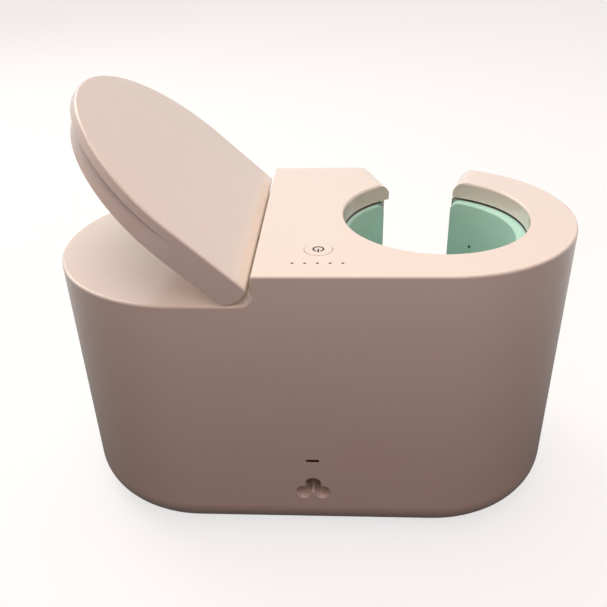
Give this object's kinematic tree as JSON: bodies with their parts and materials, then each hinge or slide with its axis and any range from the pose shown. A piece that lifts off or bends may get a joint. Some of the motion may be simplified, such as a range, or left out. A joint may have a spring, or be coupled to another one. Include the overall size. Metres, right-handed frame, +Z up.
{
  "type": "benchtop mug heat press",
  "caption": "Benchtop mug heat press: rounded glossy body, open mug bay with hinged heated jaws and a handle gap, and a wide clamp lever that swings up on a hinge.",
  "frame": {"origin": "on the table under the middle of the body", "axes": "+X from the lever end to the mug bay, +Y from the side with the mains inlet to the side with the handle gap, +Z up"},
  "size_m": [0.264, 0.139, 0.2262],
  "materials": {
    "shell_plastic": "glossy warm white",
    "base_plastic": "satin warm white",
    "cup_metal": "brushed sheet",
    "platform_plastic": "heat-proof, matt",
    "soft_mat": "matt silicone",
    "heater_silicone": "satin mint silicone",
    "jaw_metal": "pressed sheet",
    "lagging_felt": "needled glass felt",
    "steel": "plain",
    "hinge_metal": "die-cast, plain",
    "drive_plastic": "engineering plastic",
    "black_rubber": "matt",
    "black_plastic": "matt",
    "contact_metal": "plated",
    "board": "glass-filled board",
    "ferrite": "wound core",
    "sink_metal": "extruded",
    "clear_plastic": "clear"
  },
  "bodies": {
    "housing": {"upper_housing": "shell_plastic", "base_plate": "base_plastic", "inlet_socket": "base_plastic", "bay_cup": "cup_metal", "mug_platform": "platform_plastic", "platform_mat": "soft_mat", "base_screws": "steel", "hinge_post_screws": "steel", "switch_board_screws": "steel", "jaw_pins": "steel", "carriage_rails": "steel", "hinge_posts": "hinge_metal", "rail_bracket_left": "drive_plastic", "rail_bracket_right": "drive_plastic", "rubber_feet": "black_rubber", "power_relay": "black_plastic", "switch_body": "black_plastic", "usb_tongue": "black_plastic", "smoothing_capacitor": "black_plastic", "inlet_pins": "contact_metal", "usb_shell": "contact_metal", "switch_board": "board", "inlet_board": "board", "power_board": "board", "filter_choke": "ferrite", "heatsink": "sink_metal", "light_pipes": "clear_plastic", "status_leds": "clear_plastic"},
    "lever": {"lever_top": "shell_plastic", "lever_under_cover": "base_plastic", "lever_screws": "steel", "lever_bumpers": "black_rubber", "lever_frame": "cup_metal", "crank_arm": "steel", "crank_pin": "steel"},
    "clamp_carriage": {"clamp_carriage": "drive_plastic"},
    "left_jaw": {"jaw_left": "jaw_metal", "heater_pad_left": "heater_silicone", "lagging_left": "lagging_felt"},
    "right_jaw": {"jaw_right": "jaw_metal", "heater_pad_right": "heater_silicone", "lagging_right": "lagging_felt", "temperature_sensor": "steel"},
    "power_button": {"power_button": "shell_plastic", "switch_plunger": "black_plastic"}
  },
  "joints": [
    {"name": "lever_hinge", "type": "hinge", "parent": "housing", "child": "lever", "pos_m": [-0.036, 0, 0.1545], "axis": [0, -1, 0], "range_deg": [0, 43.3]},
    {"name": "carriage_slide", "type": "slide", "parent": "housing", "child": "clamp_carriage", "axis": [1, 0, 0], "range_m": [0, 0.02215]},
    {"name": "left_jaw_hinge", "type": "hinge", "parent": "housing", "child": "left_jaw", "pos_m": [0.057, -0.0495, 0.09], "axis": [0, 0, -1], "range_deg": [0, 3.5]},
    {"name": "right_jaw_hinge", "type": "hinge", "parent": "housing", "child": "right_jaw", "pos_m": [0.068, -0.0495, 0.09], "axis": [0, 0, 1], "range_deg": [0, 3.5]},
    {"name": "button_press", "type": "slide", "parent": "housing", "child": "power_button", "axis": [0, 0, -1], "range_m": [0, 0.0008], "stiffness_N_per_m": 1500, "springref_m": -0.001}
  ],
  "couplings": [
    {"joint": "carriage_slide", "follows": "lever_hinge", "m_per_rad": 0.029291},
    {"joint": "left_jaw_hinge", "follows": "lever_hinge", "ratio": 0.0808},
    {"joint": "right_jaw_hinge", "follows": "lever_hinge", "ratio": 0.0808}
  ]
}
